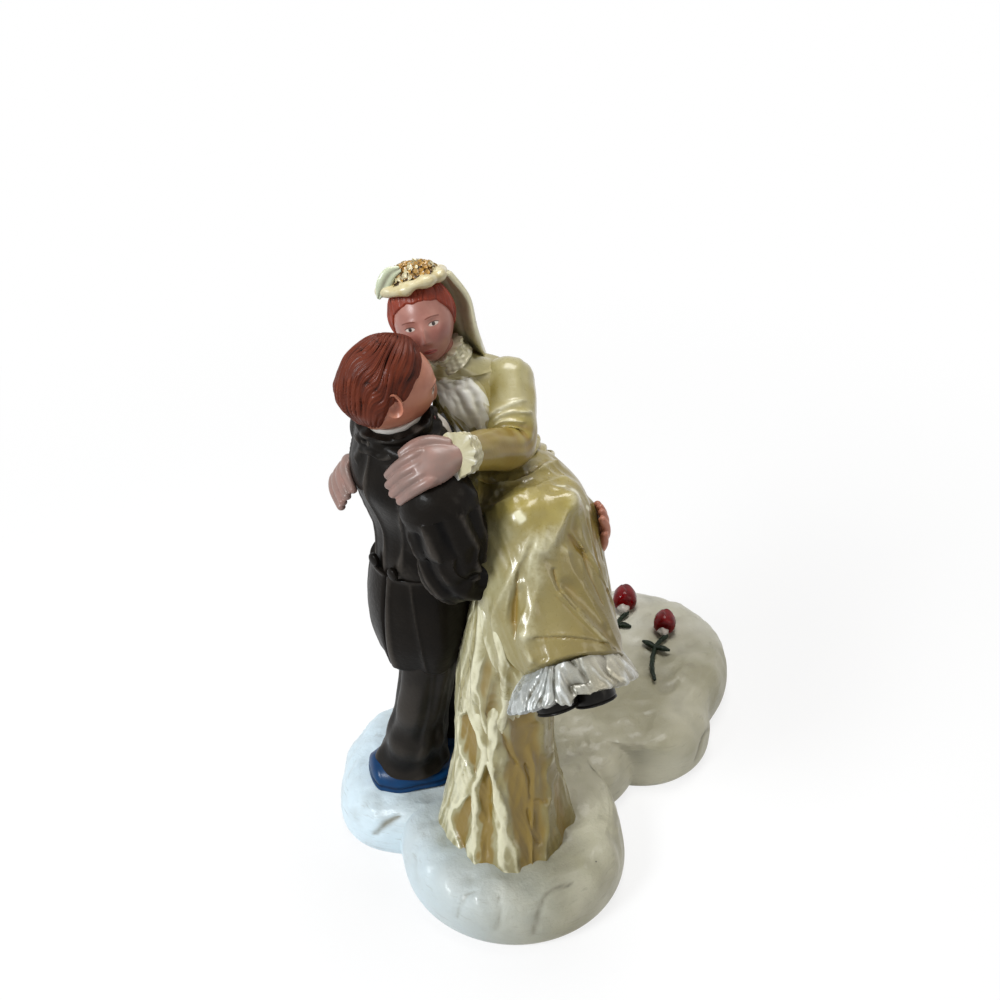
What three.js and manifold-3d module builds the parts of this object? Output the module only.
// Wedding cake topper: a groom carries his bride across a cloud base strewn with roses.
// Millimetres, +Z up, origin under the middle of the base, the viewer on the -Y side.
import * as THREE from "three";
import { mergeVertices } from "three/addons/utils/BufferGeometryUtils.js";
import Module from "manifold-3d";

const wasm = await Module();
wasm.setup();

// Clearance left for glue between neighbouring pieces
const GLUE_GAP = 0.3;

// Cloud base: round lobes joined into one outline, in parts of the base length
const BASE_LENGTH = 103;
const BASE_HEIGHT = 12;
const BASE_EDGE = 7;
const BASE_LOBES = [
  { x: -0.0728, y: -0.2718, radius: 0.2282 },
  { x: -0.2621, y: -0.0777, radius: 0.1796 },
  { x: -0.1165, y: 0.233, radius: 0.2233 },
  { x: 0.2136, y: 0.2718, radius: 0.2282 },
  { x: 0.2233, y: 0.068, radius: 0.1505 },
  { x: -0.3301, y: -0.1699, radius: 0.0922 },
  { x: 0, y: 0.0097, radius: 0.2087 },
];
const BASE_PROFILE = [[0, 0.2], [0.12, 0.04], [0.35, 0], [0.6, 0.06], [0.82, 0.28], [0.95, 0.62], [1, 1]];
const PEG_RADIUS = 2.2;
const PEG_LENGTH = 5;

// Roses laid on the base, placed in parts of the base length and turned in degrees
const ROSE_BLOOM_RADIUS = 2.9;
const ROSE_BLOOM_LENGTH = 6.6;
const ROSE_STEM_RADIUS = 0.75;
const ROSE_STEM_LENGTH = 17;
const ROSE_LEAF_LENGTH = 6.5;
const ROSE_NEAR = { x: 0.199, y: 0.3748, turn: 83 };
const ROSE_FAR = { x: 0.2845, y: 0.2883, turn: 79 };

// Where the couple stand on the base, in parts of the base length
const COUPLE_SPOT = { x: -0.1748, y: -0.1359 };

// Groom
const GROOM_FACING = 40;
const GROOM_LEG_LENGTH = 48;
const GROOM_TORSO_LENGTH = 37;
const GROOM_NECK_LENGTH = 10.5;
const GROOM_NECK_RADIUS = 3.9;
const GROOM_SHOULDER_SPAN = 23;
const GROOM_CHEST_WIDTH = 24;
const GROOM_CHEST_DEPTH = 18.5;
const GROOM_WAIST_WIDTH = 18;
const GROOM_WAIST_DEPTH = 16;
const GROOM_LEG_RADIUS = 5.7;
const GROOM_SLEEVE_RADIUS = 5.2;
const GROOM_CUFF_RADIUS = 4;
const GROOM_HAND_LENGTH = 11;
const GROOM_HEAD_HEIGHT = 17.5;
const GROOM_HEAD_WIDTH = 13;
const GROOM_HEAD_DEPTH = 15.6;
const GROOM_HAIR = 1.7;
const SHOE_LENGTH = 18.5;
const SHOE_WIDTH = 12;
const SHOE_HEIGHT = 5;
const COAT_SKIRT_LENGTH = 24;
const VENT_WIDTH = 0.9;
const BUTTON_RADIUS = 1.3;
const SHIRT_THICKNESS = 0.9;

// Bride
const BRIDE_TORSO_LENGTH = 21;
const BRIDE_NECK_LENGTH = 10.5;
const BRIDE_NECK_RADIUS = 3;
const BRIDE_SHOULDER_SPAN = 16.5;
const BRIDE_CHEST_DEPTH = 14;
const BRIDE_WAIST_WIDTH = 15;
const BRIDE_WAIST_DEPTH = 12.5;
const BRIDE_SLEEVE_RADIUS = 4.6;
const BRIDE_CUFF_RADIUS = 4.1;
const BRIDE_FAR_CUFF_RADIUS = 3.2;
const BRIDE_HAND_LENGTH = 13.5;
const BRIDE_HEAD_HEIGHT = 15.5;
const BRIDE_HEAD_WIDTH = 10.8;
const BRIDE_HEAD_DEPTH = 12.5;
const BRIDE_HAIR = 1.3;
const BOOT_WIDTH = 7.8;
const LACE_THICKNESS = 1.3;

// Flower crown and veil
const CROWN_RADIUS = 1.9;
const CROWN_FLOWERS = 10;
const VEIL_THICKNESS = 2;

// Skirt, petticoat ruffle and train
const SKIRT_WIDTH = 25;
const SKIRT_DROP = 16.5;
const SKIRT_FOLD = 0.9;
const HEM_WIDTH = 22.5;
const RUFFLE_LENGTH = 4.6;
const RUFFLE_FLARE = 1.5;
const RUFFLE_PLEATS = 21;
const PLEAT_DEPTH = 0.5;
const TRAIN_WIDTH = 19.5;
const TRAIN_HEM_WIDTH = 29;
const TRAIN_HEM_DEPTH = 26;
const TRAIN_FOLD = 1.1;
const TRAIN_FOLD_COUNT = 9;

const at = (x, y, z) => new THREE.Vector3(x, y, z);
const UP = at(0, 0, 1);
const DOWN = at(0, 0, -1);
const RIGHT = at(1, 0, 0);
const radians = (degrees) => degrees * Math.PI / 180;
const heading = (degrees) => at(Math.cos(radians(degrees)), Math.sin(radians(degrees)), 0);
const step = (from, along, length) => from.clone().addScaledVector(along, length);
const between = (a, b, t) => a.clone().lerp(b, t);
const times = (parts, length) => parts.map((part) => part * length);

// The pose seen from above is laid out in shoulder spans of the groom
const spread = (x, y, z) => at(x * GROOM_SHOULDER_SPAN, y * GROOM_SHOULDER_SPAN, z);

// Value of a smooth curve through evenly spaced numbers
function spline(values, t) {
  const last = values.length - 1;
  const x = Math.min(Math.max(t, 0), 1) * last;
  const i = Math.min(Math.floor(x), last - 1);
  const f = x - i;
  const pick = (k) => values[Math.min(Math.max(k, 0), last)];
  const a = pick(i - 1);
  const b = pick(i);
  const c = pick(i + 1);
  const d = pick(i + 2);
  const cubic = 3 * b - a - 3 * c + d;
  return 0.5 * (2 * b + (c - a) * f + (2 * a - 5 * b + 4 * c - d) * f * f + cubic * f * f * f);
}

function pointOn(path, t) {
  return at(...["x", "y", "z"].map((axis) => spline(path.map((p) => p[axis]), t)));
}

// Closed surface from a list of rings, each a list of points, with a fan at both ends
function skin(rings, startPole, endPole) {
  const count = rings[0].length;
  const points = [...rings.flat(), startPole, endPole];
  const start = points.length - 2;
  const end = points.length - 1;
  const index = [];
  for (let i = 0; i < rings.length - 1; i++) {
    for (let j = 0; j < count; j++) {
      const k = (j + 1) % count;
      const a = i * count + j;
      const b = i * count + k;
      index.push(a, b, b + count, a, b + count, a + count);
    }
  }
  const top = (rings.length - 1) * count;
  for (let j = 0; j < count; j++) {
    const k = (j + 1) % count;
    index.push(start, k, j);
    index.push(end, top + j, top + k);
  }
  const geometry = new THREE.BufferGeometry();
  const flat = points.flatMap((p) => [p.x, p.y, p.z]);
  geometry.setAttribute("position", new THREE.Float32BufferAttribute(flat, 3));
  geometry.setIndex(index);
  return geometry;
}

function solid(geometry) {
  const bare = geometry.clone();
  bare.deleteAttribute("normal");
  bare.deleteAttribute("uv");
  const joined = mergeVertices(bare, 1e-4);
  const mesh = new wasm.Mesh({
    numProp: 3,
    vertProperties: new Float32Array(joined.attributes.position.array),
    triVerts: new Uint32Array(joined.index.array),
  });
  return new wasm.Manifold(mesh);
}

const union = (list) => list.reduce((sum, next) => sum.add(next));

// Elliptical sections carried along a smooth path; round gives the height of a dome at each end, level
// keeps every section square to one direction, far is the half width on the side away from side, and bow
// bends flat sections into an arc that leans over by a part of its half width
function loft(options, grow = 0) {
  const { path, wide, high, side, sides = 12, rings = 6, folds = null, round = [0, 0] } = options;
  const low = options.low ?? high;
  const far = options.far ?? wide;
  const lean = options.lean ?? 0;
  const made = [];
  const frame = (t) => {
    const centre = pointOn(path, t);
    const ahead = pointOn(path, Math.min(t + 1e-3, 1));
    const behind = pointOn(path, Math.max(t - 1e-3, 0));
    const along = (options.level ?? ahead.sub(behind)).clone().normalize();
    const across = side.clone().addScaledVector(along, -side.dot(along)).normalize();
    return { centre, along, across, upward: along.clone().cross(across) };
  };
  const ring = (t, shift, scale) => {
    const { centre, along, across, upward } = frame(t);
    const middle = step(centre, along, shift);
    return Array.from({ length: sides }, (_, j) => {
      const angle = 2 * Math.PI * j / sides;
      const c = Math.cos(angle);
      const s = Math.sin(angle);
      const out = grow + (folds ? folds(t, j / sides) : 0);
      const half = spline(c > 0 ? wide : far, t);
      const x = (half + out) * c * scale + lean * half;
      const bend = options.bow ? spline(options.bow, t) * (lean + c) ** 2 : 0;
      const y = (spline(s > 0 ? high : low, t) + out) * s * scale + bend;
      return middle.clone().addScaledVector(across, x).addScaledVector(upward, y);
    });
  };
  const DOME = 0.71;
  const [startDome, endDome] = round.map((height) => height + (height > 0 ? grow : 0));
  const startEdge = round[0] > 0 ? 0 : grow;
  const endEdge = round[1] > 0 ? 0 : grow;
  if (startDome > 0) {
    made.push(ring(0, -startDome * DOME, DOME));
  }
  for (let i = 0; i <= rings; i++) {
    const shift = i === 0 ? -startEdge : i === rings ? endEdge : 0;
    made.push(ring(i / rings, shift, 1));
  }
  if (endDome > 0) {
    made.push(ring(1, endDome * DOME, DOME));
  }
  const first = frame(0);
  const last = frame(1);
  const startPole = step(first.centre, first.along, -(startDome || startEdge));
  const endPole = step(last.centre, last.along, endDome || endEdge);
  return solid(skin(made, startPole, endPole));
}

// Pieces are made in order, and a later piece gives way to every earlier one it meets
const placed = [];
const larger = (a, b) => (b.volume() > a.volume() ? b : a);
const largest = (body) => body.decompose().reduce(larger);

function place(group, name, form, paint, { add = null, shape = null } = {}) {
  const own = form(0);
  const bounds = own.boundingBox();
  let body = shape ? own.intersect(shape) : own;
  for (const grown of placed) {
    const reach = grown.boundingBox();
    const apart = [0, 1, 2].some((k) => reach.max[k] < bounds.min[k] || reach.min[k] > bounds.max[k]);
    if (!apart) {
      body = body.subtract(grown);
    }
  }
  if (add) {
    body = body.add(add(0));
  }
  const smoothed = largest(body).asOriginal().setTolerance(0.02).simplify(0.07);
  const data = largest(smoothed).getMesh();
  const geometry = new THREE.BufferGeometry();
  geometry.setAttribute("position", new THREE.Float32BufferAttribute(data.vertProperties, 3));
  geometry.setIndex([...data.triVerts]);
  geometry.computeVertexNormals();
  const mesh = new THREE.Mesh(geometry, paint);
  mesh.name = name;
  group.add(mesh);
  const grown = add ? form(GLUE_GAP).add(add(GLUE_GAP)) : form(GLUE_GAP);
  placed.push(shape ? grown.intersect(shape) : grown);
}

const paint = (color, roughness) => new THREE.MeshStandardMaterial({ color, roughness, metalness: 0 });
const WHITE = paint(0xe8eae6, 0.4);
const BLACK = paint(0x2b2522, 0.32);
const SHOE = paint(0x1d4a80, 0.35);
const SKIN_GROOM = paint(0xcf9a86, 0.45);
const SKIN_BRIDE = paint(0xe0b5a6, 0.45);
const AUBURN = paint(0x7d3b28, 0.35);
const COPPER = paint(0xb5532c, 0.4);
const GOWN = paint(0xd9cfa2, 0.35);
const LACE = paint(0xdfe3d6, 0.4);
const PEARL = paint(0xd8dadb, 0.3);
const BOOT = paint(0x201d1d, 0.35);
const BLOSSOM = paint(0xe0c98c, 0.4);
const RED = paint(0x9c1420, 0.25);
const GREEN = paint(0x1f3a26, 0.4);
const IVORY = paint(0xe4e0d6, 0.45);
const WINE = paint(0x5a1a22, 0.4);

const coupleX = COUPLE_SPOT.x * BASE_LENGTH;
const coupleY = COUPLE_SPOT.y * BASE_LENGTH;
const root = new THREE.Group();
root.name = "cake_topper";
const topper = new THREE.Group();
topper.name = "topper";
const couple = new THREE.Group();
couple.name = "couple";

// Base outline: the farthest lobe edge seen from the middle in each direction, softly joined
const BASE_STEPS = 44;
const LOBE_BLEND = 16;
const outline = Array.from({ length: BASE_STEPS }, (_, j) => {
  const angle = 2 * Math.PI * j / BASE_STEPS;
  const reach = BASE_LOBES.map(({ x, y, radius }) => {
    const along = x * Math.cos(angle) + y * Math.sin(angle);
    const inside = radius * radius - x * x - y * y + along * along;
    return inside > 0 ? Math.max(along + Math.sqrt(inside), 0) : 0;
  });
  const sum = reach.reduce((total, r) => total + r ** LOBE_BLEND, 0);
  return { angle, reach: BASE_LENGTH * sum ** (1 / LOBE_BLEND) };
});

function baseForm(grow = 0) {
  const rings = BASE_PROFILE.map(([rise, inset]) => outline.map(({ angle, reach }) => {
    const r = reach - inset * BASE_EDGE + grow;
    const z = rise === 0 ? -grow : rise * BASE_HEIGHT + (rise === 1 ? grow : 0);
    return at(r * Math.cos(angle), r * Math.sin(angle), z);
  }));
  return solid(skin(rings, at(0, 0, -grow), at(0, 0, BASE_HEIGHT + grow)));
}

// Groom's joints, from the soles up
const forward = heading(GROOM_FACING);
const leftward = heading(GROOM_FACING + 90);
const hipZ = GROOM_LEG_LENGTH;
const shoulderZ = GROOM_LEG_LENGTH + GROOM_TORSO_LENGTH;
const onTorso = (part) => hipZ + part * GROOM_TORSO_LENGTH;
const footR = spread(-0.491, 0.022, 0);
const footL = spread(-0.109, 0.522, 0);
const kneeStandR = spread(-0.4, -0.043, 0.55 * hipZ);
const kneeStandL = spread(-0.174, 0.413, 0.55 * hipZ);
const groomHips = spread(-0.391, 0.13, hipZ);
const groomWaist = spread(-0.391, 0.087, onTorso(0.216));
const groomChest = spread(-0.413, 0.043, onTorso(0.76));
const groomTop = spread(-0.435, 0.043, shoulderZ);
const groomNeck = spread(-0.478, 0.026, shoulderZ + 0.238 * GROOM_NECK_LENGTH);
const groomHead = spread(-0.539, -0.013, shoulderZ + GROOM_NECK_LENGTH);
const groomShoulderR = step(groomTop, leftward, -GROOM_SHOULDER_SPAN / 2).setZ(onTorso(0.919));
const groomShoulderL = step(groomTop, leftward, GROOM_SHOULDER_SPAN / 2).setZ(onTorso(0.919));
const groomElbowL = spread(-0.13, 1.239, onTorso(0.514));
const groomWristL = spread(0.37, 1.196, onTorso(0.459));

// Bride's joints: she is carried, so her height follows the groom's torso
const brideSeat = spread(0.435, 0.522, onTorso(0.432));
const brideWaist = spread(0.391, 0.652, onTorso(0.622));

// The groom's right forearm runs under her knees
const groomElbowR = spread(-0.043, -0.413, brideSeat.z - 0.77 * GROOM_SLEEVE_RADIUS);
const groomWristR = spread(1.065, 0.196, brideSeat.z - 1.44 * GROOM_SLEEVE_RADIUS);

const onBride = (part) => brideWaist.z + part * BRIDE_TORSO_LENGTH;
const brideChest = spread(0.174, 0.635, onBride(0.62));
const brideTop = spread(0.026, 0.739, onBride(0.905));
const brideNeck = spread(-0.087, 0.652, onBride(1) + 0.095 * BRIDE_NECK_LENGTH);
const brideHead = spread(-0.278, 0.609, onBride(1) + 0.905 * BRIDE_NECK_LENGTH);
const brideSide = at(0.97, 0.2, 0).normalize();
const brideShoulderL = step(brideTop, brideSide, BRIDE_SHOULDER_SPAN / 2);
const brideShoulderR = step(brideTop, brideSide, -BRIDE_SHOULDER_SPAN / 2);
const brideElbowL = spread(0.426, 0.239, onBride(0.333));
const brideWristL = spread(-0.043, -0.309, onTorso(1.03));
const brideElbowR = spread(-0.717, 1.065, onTorso(0.784));
const brideWristR = spread(-0.839, 0.478, onTorso(0.657));
const kneeL = spread(1, -0.13, brideSeat.z + 0.524 * BRIDE_TORSO_LENGTH);
const kneeR = spread(0.565, -0.304, brideSeat.z + 0.333 * BRIDE_TORSO_LENGTH);
const hem = spread(0.852, -0.826, brideSeat.z - SKIRT_DROP);
const hemWay = at(0.3, -0.5, -0.81).normalize();
const hemSide = at(0.96, 0.28, 0).normalize();

// Cloud base with a socket for each foot peg
const pegForm = (foot) => (grow = 0) => {
  const above = 0.4 * SHOE_HEIGHT;
  const radius = PEG_RADIUS + grow;
  const peg = new THREE.CylinderGeometry(radius, radius, PEG_LENGTH + above + grow, 16);
  peg.rotateX(Math.PI / 2).translate(foot.x, foot.y, (above - PEG_LENGTH - grow) / 2);
  return solid(peg);
};
const pegR = pegForm(footR);
const pegL = pegForm(footL);
const sockets = pegR(GLUE_GAP).add(pegL(GLUE_GAP)).translate([coupleX, coupleY, BASE_HEIGHT]);
place(topper, "cloud_base", (grow) => baseForm(grow).subtract(sockets), WHITE);

// Roses lie on the base; each is built pointing along +X and turned into place
function addRose(name, { x, y, turn }) {
  const group = new THREE.Group();
  group.name = name;
  topper.add(group);
  const spot = [x * BASE_LENGTH, y * BASE_LENGTH, BASE_HEIGHT];
  const lay = (body) => body.rotate([0, 0, turn]).translate(spot);
  const bloomR = ROSE_BLOOM_RADIUS;
  const stemR = ROSE_STEM_RADIUS;
  const leafL = ROSE_LEAF_LENGTH;
  const rise = 0.87 * bloomR;
  const bud = [[0, 0], [0.62, 0.1], [1, 0.42], [0.92, 0.72], [0.98, 0.92], [0.55, 1], [0, 0.94]];
  const bloom = (grow = 0) => {
    const profile = bud.map(([r, l]) => {
      const radius = r === 0 ? 0 : r * bloomR + grow;
      return new THREE.Vector2(radius, l * (ROSE_BLOOM_LENGTH + 2 * grow) - grow);
    });
    const turned = new THREE.LatheGeometry(profile, 12).rotateZ(-Math.PI / 2).translate(0, 0, rise);
    return lay(solid(turned));
  };
  const calyx = (grow = 0) => lay(loft({
    path: [
      at(-0.84 * bloomR, 0, rise - 0.26 * bloomR),
      at(-0.26 * bloomR, 0, rise - 0.065 * bloomR),
      at(0.45 * bloomR, 0, rise),
    ],
    wide: times([0.32, 0.61, 0.87], bloomR),
    high: times([0.32, 0.61, 0.87], bloomR),
    side: at(0, 1, 0), sides: 8, rings: 2,
  }, grow));
  const tail = -0.65 * bloomR - ROSE_STEM_LENGTH;
  const stem = (grow = 0) => lay(loft({
    path: [
      at(tail, 0.094 * ROSE_STEM_LENGTH, 0.93 * stemR),
      at(0.6 * tail, 0.041 * ROSE_STEM_LENGTH, 1.07 * stemR),
      at(-1.29 * bloomR, 0, 1.47 * stemR),
      at(-0.58 * bloomR, 0, rise - 0.19 * bloomR),
    ],
    wide: times([1, 1, 1, 1], stemR),
    high: times([1, 1, 1, 1], stemR),
    side: at(0, 1, 0), sides: 6, rings: 5, round: [0.53 * stemR, 0],
  }, grow));
  const leaf = (hand) => (grow = 0) => lay(loft({
    path: [
      at(-0.923 * leafL, hand * 0.06 * leafL, 0.154 * leafL),
      at(-0.985 * leafL, hand * 0.5 * leafL, 0.185 * leafL),
      at(-0.77 * leafL, hand * leafL, 0.138 * leafL),
    ],
    wide: times([0.108, 0.231, 0.062], leafL),
    high: times([0.077, 0.092, 0.062], leafL),
    side: RIGHT, sides: 6, rings: 4, round: [0, 0.062 * leafL],
  }, grow));
  place(group, name + "_bloom", bloom, RED);
  place(group, name + "_calyx", calyx, IVORY);
  place(group, name + "_stem", stem, GREEN);
  place(group, name + "_leaf_left", leaf(1), GREEN);
  place(group, name + "_leaf_right", leaf(-1), GREEN);
}
addRose("rose_near", ROSE_NEAR);
addRose("rose_far", ROSE_FAR);

// From here the pieces are in the couple's frame, so what is on the base moves into it
placed.forEach((grown, i) => {
  placed[i] = grown.translate([-coupleX, -coupleY, -BASE_HEIGHT]);
});

// Shoes with a peg under each
function shoeForm(foot, degrees) {
  const way = heading(degrees);
  const heelToToe = [-0.5, -0.28, 0, 0.28, 0.5];
  return (grow = 0) => loft({
    path: heelToToe.map((k) => step(foot, way, k * SHOE_LENGTH).setZ(0.1 * SHOE_HEIGHT)),
    wide: times([0.36, 0.46, 0.45, 0.5, 0.36], SHOE_WIDTH),
    high: times([0.8, 0.95, 0.95, 0.7, 0.5], SHOE_HEIGHT),
    low: times([0.3, 0.3, 0.3, 0.3, 0.3], SHOE_HEIGHT),
    side: heading(degrees + 90), sides: 12, rings: 4, round: [0.09 * SHOE_LENGTH, 0.11 * SHOE_LENGTH],
  }, grow);
}
place(couple, "groom_right_shoe", shoeForm(footR, 17), SHOE, { add: pegR });
place(couple, "groom_left_shoe", shoeForm(footL, 45), SHOE, { add: pegL });

// Boots below the skirt hem
function bootForm(hand) {
  const ankle = step(hem, hemSide, (hand * 0.526 + 0.1) * BOOT_WIDTH);
  const toe = step(ankle, hemWay, RUFFLE_LENGTH + 0.513 * BOOT_WIDTH);
  return (grow = 0) => loft({
    path: [step(ankle, hemWay, -1.3 * RUFFLE_LENGTH), ankle, between(ankle, toe, 0.6), toe],
    wide: times([0.333, 0.372, 0.487, 0.5], BOOT_WIDTH),
    high: times([0.36, 0.41, 0.59, 0.615], BOOT_WIDTH),
    low: times([0.333, 0.36, 0.385, 0.385], BOOT_WIDTH),
    side: hemSide, sides: 12, rings: 5, round: [0.15 * BOOT_WIDTH, 0.12 * BOOT_WIDTH],
  }, grow);
}
place(couple, "bride_left_boot", bootForm(1), BOOT);
place(couple, "bride_right_boot", bootForm(-1), BOOT);

// Heads: an egg with a narrower jaw and a nose, on a neck that plugs into the body
const HEAD_RINGS = 9;
const HEAD_SIDES = 16;
function headFrame(facing, pitch, roll) {
  const turn = new THREE.Euler(radians(roll), radians(-pitch), radians(facing), "ZYX");
  return new THREE.Quaternion().setFromEuler(turn);
}
function eggForm(centre, turn, size, thickness) {
  return (grow = 0) => {
    const point = (t, j) => {
      const polar = Math.PI * t;
      const angle = 2 * Math.PI * j / HEAD_SIDES;
      const way = at(Math.sin(polar) * Math.cos(angle), Math.sin(polar) * Math.sin(angle), -Math.cos(polar));
      const below = Math.min(way.z, 0) ** 2;
      const nape = way.x < 0 ? 1 - 0.25 * below : 1;
      const nose = 0.1 * Math.max(0, way.x) ** 12 * Math.exp(-((way.z + 0.12) ** 2) / 0.03);
      const out = thickness(way) + grow;
      const local = at(
        way.x * (0.5 * size.depth * nape + out) + nose * size.depth,
        way.y * (0.5 * size.width * (1 - 0.3 * below) + out),
        way.z * (0.5 * size.height + out),
      );
      return local.applyQuaternion(turn).add(centre);
    };
    const rings = [];
    for (let i = 1; i < HEAD_RINGS; i++) {
      rings.push(Array.from({ length: HEAD_SIDES }, (_, j) => point(i / HEAD_RINGS, j)));
    }
    return solid(skin(rings, point(0, 0), point(1, 0)));
  };
}
function neckForm(from, to, radius) {
  return (grow = 0) => loft({
    path: [from, between(from, to, 0.5), to],
    wide: [radius, radius, radius], high: [radius, radius, radius],
    side: RIGHT, rings: 4, round: [0.4 * radius, 0.4 * radius],
  }, grow);
}
const groomTurn = headFrame(20, -4, 4);
const brideTurn = headFrame(-90, 14, 16);
const groomSize = { height: GROOM_HEAD_HEIGHT, width: GROOM_HEAD_WIDTH, depth: GROOM_HEAD_DEPTH };
const brideSize = { height: BRIDE_HEAD_HEIGHT, width: BRIDE_HEAD_WIDTH, depth: BRIDE_HEAD_DEPTH };
const bare = () => 0;
const groomNeckForm = neckForm(
  step(groomNeck, UP, -0.571 * GROOM_NECK_LENGTH),
  step(groomHead, forward, -0.077 * GROOM_HEAD_DEPTH),
  GROOM_NECK_RADIUS,
);
const brideNeckForm = neckForm(
  step(step(brideNeck, UP, -0.476 * BRIDE_NECK_LENGTH), RIGHT, 0.095 * BRIDE_NECK_LENGTH),
  step(brideHead, at(0, 1, 0), 0.08 * BRIDE_HEAD_DEPTH),
  BRIDE_NECK_RADIUS,
);
const groomSkull = eggForm(groomHead, groomTurn, groomSize, bare);
const brideSkull = eggForm(brideHead, brideTurn, brideSize, bare);
place(couple, "groom_head", (grow) => groomSkull(grow).add(groomNeckForm(grow)), SKIN_GROOM);
place(couple, "bride_head", (grow) => brideSkull(grow).add(brideNeckForm(grow)), SKIN_BRIDE);

function earForm(hand) {
  const { height, width, depth } = groomSize;
  const local = (x, y, z) => at(x * depth, hand * y * width, z * height)
    .applyQuaternion(groomTurn).add(groomHead);
  return (grow = 0) => loft({
    path: [local(-0.032, 0.49, -0.171), local(-0.051, 0.53, -0.046), local(-0.064, 0.54, 0.069)],
    wide: times([0.057, 0.097, 0.086], height),
    high: times([0.077, 0.092, 0.077], width),
    side: RIGHT.clone().applyQuaternion(groomTurn),
    sides: 8, rings: 3, round: [0.034 * height, 0.046 * height],
  }, grow);
}
place(couple, "groom_right_ear", earForm(-1), SKIN_GROOM);
place(couple, "groom_left_ear", earForm(1), SKIN_GROOM);

// Trouser legs
function legForm(foot, knee, hipShift) {
  const hip = step(groomHips, leftward, hipShift * GROOM_SHOULDER_SPAN);
  const shin = between(step(foot, UP, SHOE_HEIGHT), knee, 0.4);
  return (grow = 0) => loft({
    path: [step(foot, UP, 0.5 * SHOE_HEIGHT), shin, knee, between(knee, hip, 0.55), hip],
    wide: times([1.3, 1.02, 1, 1.04, 0.9], GROOM_LEG_RADIUS),
    high: times([1.12, 1, 0.98, 1.04, 0.9], GROOM_LEG_RADIUS),
    side: heading(20), sides: 14, rings: 6, level: UP,
  }, grow);
}
place(couple, "groom_right_trouser_leg", legForm(footR, kneeStandR, -0.226), BLACK);
place(couple, "groom_left_trouser_leg", legForm(footL, kneeStandL, 0.157), BLACK);

// Shirt collar and bow tie
const collarTilt = groomHead.clone().sub(groomNeck).normalize();
const onNeck = (part) => step(groomNeck, collarTilt, part * GROOM_NECK_RADIUS);
const collarForm = (grow = 0) => loft({
  path: [onNeck(-0.64), onNeck(0), onNeck(0.667)],
  wide: times([1.44, 1.36, 1.28], GROOM_NECK_RADIUS),
  high: times([1.44, 1.36, 1.28], GROOM_NECK_RADIUS),
  side: forward, sides: 16, rings: 2,
}, grow);
place(couple, "groom_shirt_collar", collarForm, IVORY);
const tieSpot = step(step(groomNeck, forward, 1.385 * GROOM_NECK_RADIUS), UP, -0.154 * GROOM_NECK_RADIUS);
const tieForm = (grow = 0) => loft({
  path: [-1.026, -0.615, 0, 0.615, 1.026].map((k) => step(tieSpot, leftward, k * GROOM_NECK_RADIUS)),
  wide: times([0.487, 0.462, 0.231, 0.462, 0.487], GROOM_NECK_RADIUS),
  high: times([0.256, 0.256, 0.256, 0.256, 0.256], GROOM_NECK_RADIUS),
  side: UP, sides: 8, rings: 6,
}, grow);
place(couple, "groom_bow_tie", tieForm, WINE);

// Coat body, and the shirt front that shows between its lapels
const coatBody = (grow = 0) => loft({
  path: [
    groomWaist,
    between(groomWaist, groomChest, 0.5),
    groomChest,
    groomTop,
    step(groomNeck, UP, 0.1 * GROOM_NECK_RADIUS),
  ],
  wide: [
    GROOM_WAIST_DEPTH / 2,
    0.47 * GROOM_WAIST_DEPTH + 0.04 * GROOM_CHEST_DEPTH,
    GROOM_CHEST_DEPTH / 2,
    0.4 * GROOM_CHEST_DEPTH,
    1.51 * GROOM_NECK_RADIUS,
  ],
  high: [
    GROOM_WAIST_WIDTH / 2,
    0.3 * GROOM_WAIST_WIDTH + 0.2 * GROOM_CHEST_WIDTH,
    GROOM_CHEST_WIDTH / 2,
    0.46 * GROOM_CHEST_WIDTH,
    1.54 * GROOM_NECK_RADIUS,
  ],
  side: forward, sides: 20, rings: 7, round: [0, 0.154 * GROOM_NECK_RADIUS], level: UP,
}, grow);
place(couple, "groom_coat", coatBody, BLACK);
const shirtSpot = step(groomChest, UP, 0.135 * GROOM_TORSO_LENGTH);
const shirtPatch = loft({
  path: [0.2, 0.77].map((k) => step(shirtSpot, forward, k * GROOM_CHEST_DEPTH)),
  wide: times([0.15, 0.15], GROOM_CHEST_WIDTH),
  high: times([0.19, 0.19], GROOM_TORSO_LENGTH),
  side: leftward, sides: 12, rings: 1,
});
const shirtForm = (grow) => coatBody(grow + SHIRT_THICKNESS);
place(couple, "groom_shirt_front", shirtForm, IVORY, { shape: shirtPatch });

// Coat skirt below the waist seam, with its back vent and buttons
const skirtTop = step(groomWaist, UP, 0.042 * COAT_SKIRT_LENGTH);
const skirtEnd = step(step(groomWaist, DOWN, COAT_SKIRT_LENGTH), RIGHT, -0.026 * GROOM_SHOULDER_SPAN);
const ventSpot = step(between(skirtTop, skirtEnd, 0.62), forward, -0.72 * GROOM_WAIST_DEPTH);
const vent = (grow) => {
  const slot = new THREE.BoxGeometry(0.56 * GROOM_WAIST_DEPTH, VENT_WIDTH - 2 * grow, 0.62 * COAT_SKIRT_LENGTH);
  slot.rotateZ(radians(GROOM_FACING)).translate(ventSpot.x, ventSpot.y, ventSpot.z);
  return solid(slot);
};
const coatSkirt = (grow = 0) => loft({
  path: [skirtTop, between(skirtTop, skirtEnd, 0.35), between(skirtTop, skirtEnd, 0.72), skirtEnd],
  wide: times([0.5, 0.59, 0.61, 0.54], GROOM_WAIST_DEPTH),
  high: times([0.5, 0.58, 0.61, 0.55], GROOM_WAIST_WIDTH),
  side: forward, sides: 20, rings: 5, round: [0, 0.05 * COAT_SKIRT_LENGTH], level: DOWN,
}, grow).subtract(vent(grow));
place(couple, "groom_coat_skirt", coatSkirt, BLACK);
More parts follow.
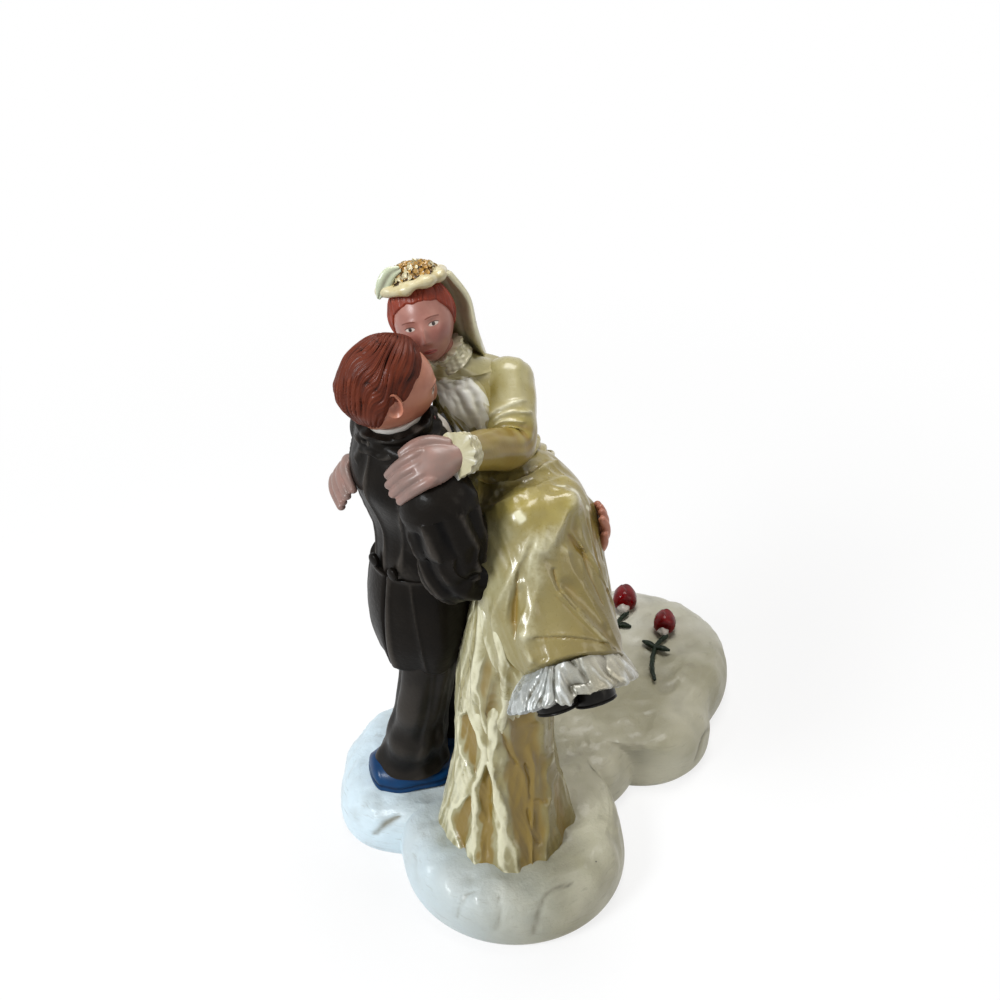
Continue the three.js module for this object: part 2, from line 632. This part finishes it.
const waistBack = step(step(groomWaist, forward, -GROOM_WAIST_DEPTH / 2), UP, 0.067 * COAT_SKIRT_LENGTH);
const buttonForm = (hand) => (grow = 0) => {
  const spot = step(waistBack, leftward, hand * 0.167 * GROOM_WAIST_WIDTH);
  return solid(new THREE.SphereGeometry(BUTTON_RADIUS + grow, 8, 6).translate(spot.x, spot.y, spot.z));
};
place(couple, "groom_back_button_right", buttonForm(-1), BLACK);
place(couple, "groom_back_button_left", buttonForm(1), BLACK);
const coatCollar = (grow = 0) => loft({
  path: [onNeck(-0.41), onNeck(0.05), onNeck(0.436)],
  wide: times([1.95, 1.795, 1.69], GROOM_NECK_RADIUS),
  high: times([2.05, 1.9, 1.744], GROOM_NECK_RADIUS),
  side: forward, sides: 16, rings: 2,
}, grow);
place(couple, "groom_coat_collar", coatCollar, BLACK);

// Sleeves end a little short of the wrist, and cuffs stand round the wrists
const sleeveForm = (path, radius) => (grow = 0) => loft({
  path, wide: radius, high: radius,
  side: at(0.3, 0.2, 1), rings: 7, round: [0.9 * radius[0], 0],
}, grow);
const toward = (from, to, length) => step(from, to.clone().sub(from).normalize(), length);
const groomSleeve = (shoulder, elbow, wrist) => {
  const start = toward(shoulder, elbow, 0.77 * GROOM_SLEEVE_RADIUS);
  return sleeveForm(
    [start, between(start, elbow, 0.5), elbow, toward(wrist, elbow, 0.25 * GROOM_CUFF_RADIUS)],
    times([1.1, 1.06, 1, 0.86], GROOM_SLEEVE_RADIUS),
  );
};
place(couple, "groom_right_sleeve", groomSleeve(groomShoulderR, groomElbowR, groomWristR), BLACK);
place(couple, "groom_left_sleeve", groomSleeve(groomShoulderL, groomElbowL, groomWristL), BLACK);
const cuffForm = (wrist, elbow, radius) => {
  const way = elbow.clone().sub(wrist).normalize();
  return (grow = 0) => loft({
    path: [step(wrist, way, -0.4 * radius), step(wrist, way, 0.1 * radius), step(wrist, way, 0.6 * radius)],
    wide: times([1, 0.96, 0.9], radius),
    high: times([1, 0.96, 0.9], radius),
    side: way.clone().cross(UP).normalize(), rings: 2,
  }, grow);
};
place(couple, "groom_right_shirt_cuff", cuffForm(groomWristR, groomElbowR, GROOM_CUFF_RADIUS), IVORY);
place(couple, "groom_left_shirt_cuff", cuffForm(groomWristL, groomElbowL, GROOM_CUFF_RADIUS), IVORY);

// Hair caps: thick where hair grows, sunk under the skin over the face
const smooth = (x) => THREE.MathUtils.smoothstep(x, -0.14, 0.14);
const hairCover = (way, edge) => Math.min(smooth(edge + 0.35 * way.z - way.x), smooth(way.z + 0.42));
const hairCap = (edge, thick) => (way) => 1.8 * thick * hairCover(way, edge) - 0.8 * thick;
place(couple, "groom_hair", eggForm(groomHead, groomTurn, groomSize, hairCap(0.42, GROOM_HAIR)), AUBURN);

// Bodice, bib, collar and sash
const bodiceStart = brideWaist.clone().add(spread(0.017, -0.035, -0.143 * BRIDE_TORSO_LENGTH));
const bodiceForm = (grow = 0) => loft({
  path: [bodiceStart, brideWaist, brideChest, brideTop, brideNeck],
  wide: [
    0.54 * BRIDE_WAIST_WIDTH,
    BRIDE_WAIST_WIDTH / 2,
    0.49 * BRIDE_SHOULDER_SPAN,
    BRIDE_SHOULDER_SPAN / 2,
    1.4 * BRIDE_NECK_RADIUS,
  ],
  high: [
    0.53 * BRIDE_WAIST_DEPTH,
    BRIDE_WAIST_DEPTH / 2,
    BRIDE_CHEST_DEPTH / 2,
    0.38 * BRIDE_CHEST_DEPTH,
    1.33 * BRIDE_NECK_RADIUS,
  ],
  side: brideSide, sides: 20, rings: 7, round: [0, 0.2 * BRIDE_NECK_RADIUS], level: UP,
}, grow);
place(couple, "bride_bodice", bodiceForm, GOWN);
const bibSpot = brideChest.clone().add(spread(-0.191, 0, 0.119 * BRIDE_TORSO_LENGTH));
const bibPatch = loft({
  path: [-0.107, -0.857].map((k) => step(bibSpot, at(0, 1, 0), k * BRIDE_CHEST_DEPTH)),
  wide: times([0.34, 0.34], BRIDE_SHOULDER_SPAN),
  high: times([0.357, 0.357], BRIDE_TORSO_LENGTH),
  side: brideSide, sides: 16, rings: 1,
});
place(couple, "bride_lace_bib", (grow) => bodiceForm(grow + LACE_THICKNESS), LACE, { shape: bibPatch });
const brideNeckWay = brideHead.clone().sub(brideNeck).normalize();
const laceCollar = (grow = 0) => loft({
  path: [-0.2, 0.4, 0.867].map((k) => step(brideNeck, brideNeckWay, k * BRIDE_NECK_RADIUS)),
  wide: times([1.6, 1.4, 1.45], BRIDE_NECK_RADIUS),
  high: times([1.6, 1.4, 1.45], BRIDE_NECK_RADIUS),
  side: brideSide, sides: 16, rings: 2,
}, grow);
place(couple, "bride_lace_collar", laceCollar, LACE);
const sashStart = brideWaist.clone().add(spread(0.017, -0.017, -0.076 * BRIDE_TORSO_LENGTH));
const sashEnd = brideWaist.clone().add(spread(-0.026, 0, 0.114 * BRIDE_TORSO_LENGTH));
const sashForm = (grow = 0) => loft({
  path: [sashStart, brideWaist, sashEnd],
  wide: times([0.66, 0.63, 0.61], BRIDE_WAIST_WIDTH),
  high: times([0.68, 0.65, 0.63], BRIDE_WAIST_DEPTH),
  side: brideSide, sides: 20, rings: 2,
}, grow);
place(couple, "bride_waist_sash", sashForm, GOWN);

// Skirt over the lap and knees, with open folds toward the hem
const lapStart = brideSeat.clone().add(spread(-0.043, 0.087, 0.286 * BRIDE_TORSO_LENGTH));
const kneeRise = between(kneeL, kneeR, 0.5).sub(between(lapStart, hem, 0.36)).length();
const skirtFolds = (s, v) => {
  const hang = Math.max(0, s - 0.3) * Math.cos(2 * Math.PI * (7 * v + 0.4 * s));
  const lap = Math.exp(-(((s - 0.38) / 0.15) ** 2)) * Math.max(0, Math.sin(2 * Math.PI * v));
  return SKIRT_FOLD * (hang - lap * Math.cos(8 * Math.PI * (v - 0.25)));
};
const skirtForm = (grow = 0) => loft({
  path: [0, 0.18, 0.36, 0.6, 0.8, 1].map((t) => between(lapStart, hem, t)),
  wide: [...times([0.36, 0.5, 0.52, 0.5, 0.47], SKIRT_WIDTH), HEM_WIDTH / 2],
  high: [
    0.24 * SKIRT_WIDTH,
    0.72 * kneeRise,
    1.04 * kneeRise,
    0.76 * kneeRise,
    0.328 * SKIRT_WIDTH,
    0.311 * HEM_WIDTH,
  ],
  low: [...times([0.24, 0.18, 0.16, 0.16, 0.2], SKIRT_WIDTH), 0.249 * HEM_WIDTH],
  far: [...times([0.36, 0.5, 0.508, 0.448, 0.36], SKIRT_WIDTH), 0.311 * HEM_WIDTH],
  side: hemSide, sides: 28, rings: 8, folds: skirtFolds,
}, grow);
place(couple, "bride_skirt", skirtForm, GOWN);

// Petticoat ruffle round the boots
const ruffleEnd = step(hem, hemWay, RUFFLE_LENGTH);
const pleats = (s, v) => (0.25 + 0.75 * s) * PLEAT_DEPTH * Math.cos(2 * Math.PI * RUFFLE_PLEATS * v);
const flared = (parts) => parts.map((part, i) => part * HEM_WIDTH + [0, 0.6, 1][i] * RUFFLE_FLARE);
const ruffleForm = (grow = 0) => loft({
  path: [step(hem, hemWay, -0.326 * RUFFLE_LENGTH), between(hem, ruffleEnd, 0.5), ruffleEnd],
  wide: flared([0.456, 0.5, 0.507]),
  far: flared([0.276, 0.431, 0.507]),
  high: flared([0.267, 0.302, 0.311]),
  low: flared([0.204, 0.222, 0.231]),
  side: hemSide, sides: 4 * RUFFLE_PLEATS, rings: 2, folds: pleats,
}, grow);
place(couple, "bride_petticoat_ruffle", ruffleForm, PEARL);

// Train falling from the seat into the base in long folds
const trainTop = brideSeat.clone().add(spread(-0.043, -0.348, -0.19 * BRIDE_TORSO_LENGTH));
const trainFolds = (s, v) => {
  const turns = TRAIN_FOLD_COUNT * v + 0.35 * Math.sin(4 * s);
  return TRAIN_FOLD * (0.35 + 0.65 * s) * Math.cos(2 * Math.PI * turns);
};
const trainForm = (grow = 0) => loft({
  path: [
    trainTop,
    spread(0.348, -0.174, 0.6 * trainTop.z),
    spread(0.374, -0.391, 0.27 * trainTop.z),
    spread(0.391, -0.587, -0.077 * TRAIN_HEM_DEPTH),
  ],
  wide: [...times([0.39, 0.5, 0.54], TRAIN_WIDTH), TRAIN_HEM_WIDTH / 2],
  high: [...times([0.36, 0.46, 0.48], TRAIN_WIDTH), TRAIN_HEM_DEPTH / 2],
  low: [...times([0.308, 0.36, 0.44], TRAIN_WIDTH), TRAIN_HEM_DEPTH / 2],
  side: RIGHT, sides: 4 * TRAIN_FOLD_COUNT, rings: 8, folds: trainFolds, level: DOWN,
}, grow);
place(couple, "bride_train", trainForm, GOWN);

// Hands: a palm with four fingers and a thumb; back is the side the knuckles face
function handForm(wrist, tip, back, length, thumb, curl) {
  const way = tip.clone().sub(wrist).normalize();
  const side = way.clone().cross(back).normalize();
  const top = side.clone().cross(way);
  const spot = (a, s, n) => step(step(step(wrist, way, a * length), side, s * length), top, n * length);
  return (grow = 0) => {
    const palm = loft({
      path: [spot(-0.3, 0, 0), spot(0.02, 0, 0), spot(0.28, 0, 0.02), spot(0.55, 0, 0)],
      wide: times([0.15, 0.16, 0.25, 0.25], length),
      high: times([0.13, 0.13, 0.14, 0.11], length),
      side, sides: 10, rings: 3, round: [0, 0.057 * length],
    }, grow);
    const fingers = [-1.5, -0.5, 0.5, 1.5].map((k) => {
      const reach = 0.44 - 0.03 * k * k;
      return loft({
        path: [
          spot(0.42, k * 0.125, 0),
          spot(0.5 + reach * 0.5, k * 0.13, -0.02 - 0.05 * curl),
          spot(0.5 + reach, k * 0.13, -0.06 - 0.2 * curl),
        ],
        wide: times([0.055, 0.054, 0.048], length),
        high: times([0.07, 0.068, 0.055], length),
        side, sides: 6, rings: 2, round: [0, 0.036 * length],
      }, grow);
    });
    const thumbBar = loft({
      path: [spot(0.12, thumb * 0.16, 0), spot(0.3, thumb * 0.32, -0.04), spot(0.5, thumb * 0.37, -0.1)],
      wide: times([0.09, 0.085, 0.065], length),
      high: times([0.09, 0.085, 0.065], length),
      side: top, sides: 6, rings: 2, round: [0, 0.036 * length],
    }, grow);
    return union([palm, ...fingers, thumbBar]);
  };
}
const brideTipL = spread(-0.565, -0.548, onTorso(0.973));
const brideTipR = spread(-1.113, 0.109, onTorso(0.684));
const groomTipR = spread(1.261, 0.152, groomWristR.z + GROOM_HAND_LENGTH);
const groomTipL = spread(0.696, 0.935, onTorso(0.514));
const brideHandL = handForm(brideWristL, brideTipL, at(-0.2, -0.75, 0.65), BRIDE_HAND_LENGTH, 1, 1.5);
const brideHandR = handForm(brideWristR, brideTipR, at(-0.75, 0.45, -0.45), BRIDE_HAND_LENGTH, -1, 2.4);
const groomHandR = handForm(groomWristR, groomTipR, at(0.9, 0.2, -0.3), GROOM_HAND_LENGTH, -1, 0.6);
const groomHandL = handForm(groomWristL, groomTipL, at(0.5, 0.85, 0), GROOM_HAND_LENGTH, 1, 0.8);
place(couple, "bride_left_hand", brideHandL, SKIN_BRIDE);
place(couple, "bride_right_hand", brideHandR, SKIN_BRIDE);
place(couple, "groom_right_hand", groomHandR, SKIN_GROOM);
place(couple, "groom_left_hand", groomHandL, SKIN_GROOM);

// Lace cuffs, then the gown's sleeves, full at the shoulder
place(couple, "bride_left_lace_cuff", cuffForm(brideWristL, brideElbowL, BRIDE_CUFF_RADIUS), LACE);
place(couple, "bride_right_lace_cuff", cuffForm(brideWristR, brideElbowR, BRIDE_FAR_CUFF_RADIUS), LACE);
const brideSleeve = (shoulder, elbow, wrist, parts) => {
  const start = toward(shoulder, elbow, 0.7 * BRIDE_SLEEVE_RADIUS);
  const end = toward(wrist, elbow, 0.33 * BRIDE_CUFF_RADIUS);
  return sleeveForm(
    [start, between(start, elbow, 0.5), elbow, between(elbow, wrist, 0.55), end],
    times(parts, BRIDE_SLEEVE_RADIUS),
  );
};
const sleeveL = brideSleeve(brideShoulderL, brideElbowL, brideWristL, [1.02, 1.1, 1.02, 0.9, 0.78]);
const sleeveR = brideSleeve(brideShoulderR, brideElbowR, brideWristR, [1, 1.1, 0.95, 0.8, 0.7]);
place(couple, "bride_left_sleeve", sleeveL, GOWN);
place(couple, "bride_right_sleeve", sleeveR, GOWN);

// Bride's hair, flower crown and veil
place(couple, "bride_hair", eggForm(brideHead, brideTurn, brideSize, hairCap(0.55, BRIDE_HAIR)), COPPER);
const inHead = (x, y, z) => at(x * BRIDE_HEAD_DEPTH, y * BRIDE_HEAD_WIDTH, z * BRIDE_HEAD_HEIGHT)
  .applyQuaternion(brideTurn).add(brideHead);
const crownForm = (grow = 0) => {
  const wreath = (count, ring, lift, radius) => Array.from({ length: count }, (_, i) => {
    const angle = 2 * Math.PI * i / count;
    const spot = inHead(0.92 * ring * Math.cos(angle), ring * Math.sin(angle), lift);
    return solid(new THREE.IcosahedronGeometry(radius + grow, 1).translate(spot.x, spot.y, spot.z));
  });
  const leaf = loft({
    path: [inHead(0.2, -0.2, 0.56), inHead(0.38, -0.46, 0.55), inHead(0.38, -0.62, 0.43), inHead(0.32, -0.68, 0.3)],
    wide: times([0.7, 0.84, 0.8, 0.25], CROWN_RADIUS),
    high: times([0.4, 0.3, 0.3, 0.2], CROWN_RADIUS),
    side: at(0, -0.5, 0.85).applyQuaternion(brideTurn), sides: 8, rings: 4, round: [0, 0.15 * CROWN_RADIUS],
  }, grow);
  const upper = wreath(CROWN_FLOWERS / 2, 0.26, 0.57, 0.9 * CROWN_RADIUS);
  return union([...wreath(CROWN_FLOWERS, 0.47, 0.48, CROWN_RADIUS), ...upper, leaf]);
};
place(couple, "bride_flower_crown", crownForm, BLOSSOM);
const veilFolds = (s, v) => 0.225 * VEIL_THICKNESS * (0.3 + 0.7 * s) * Math.cos(12 * Math.PI * v);
const veilForm = (grow = 0) => loft({
  path: [
    inHead(-0.3, 0.05, 0.6),
    inHead(-0.64, 0.1, 0.3),
    inHead(-0.74, 0.12, -0.1),
    spread(-0.022, 0.978, onBride(0.762)),
    spread(0.087, 1.022, onBride(0.333)),
  ],
  wide: times([0.244, 0.371, 0.424, 0.456, 0.477], BRIDE_SHOULDER_SPAN),
  high: times([0.5, 0.5, 0.5, 0.5, 0.5], VEIL_THICKNESS),
  bow: times([0.122, 0.337, 0.429, 0.306, 0.153], BRIDE_HEAD_DEPTH),
  lean: 0.14,
  side: brideSide, sides: 28, rings: 8, folds: veilFolds, round: [0.3 * VEIL_THICKNESS, 0],
}, grow);
place(couple, "bride_veil", veilForm, GOWN);

couple.position.set(coupleX, coupleY, BASE_HEIGHT);
topper.add(couple);

// The outline's middle goes over the origin
const middle = (pick) => {
  const values = outline.map(pick);
  return (Math.max(...values) + Math.min(...values)) / 2;
};
topper.position.x = -middle(({ angle, reach }) => reach * Math.cos(angle));
topper.position.y = -middle(({ angle, reach }) => reach * Math.sin(angle));
root.add(topper);

export default root;
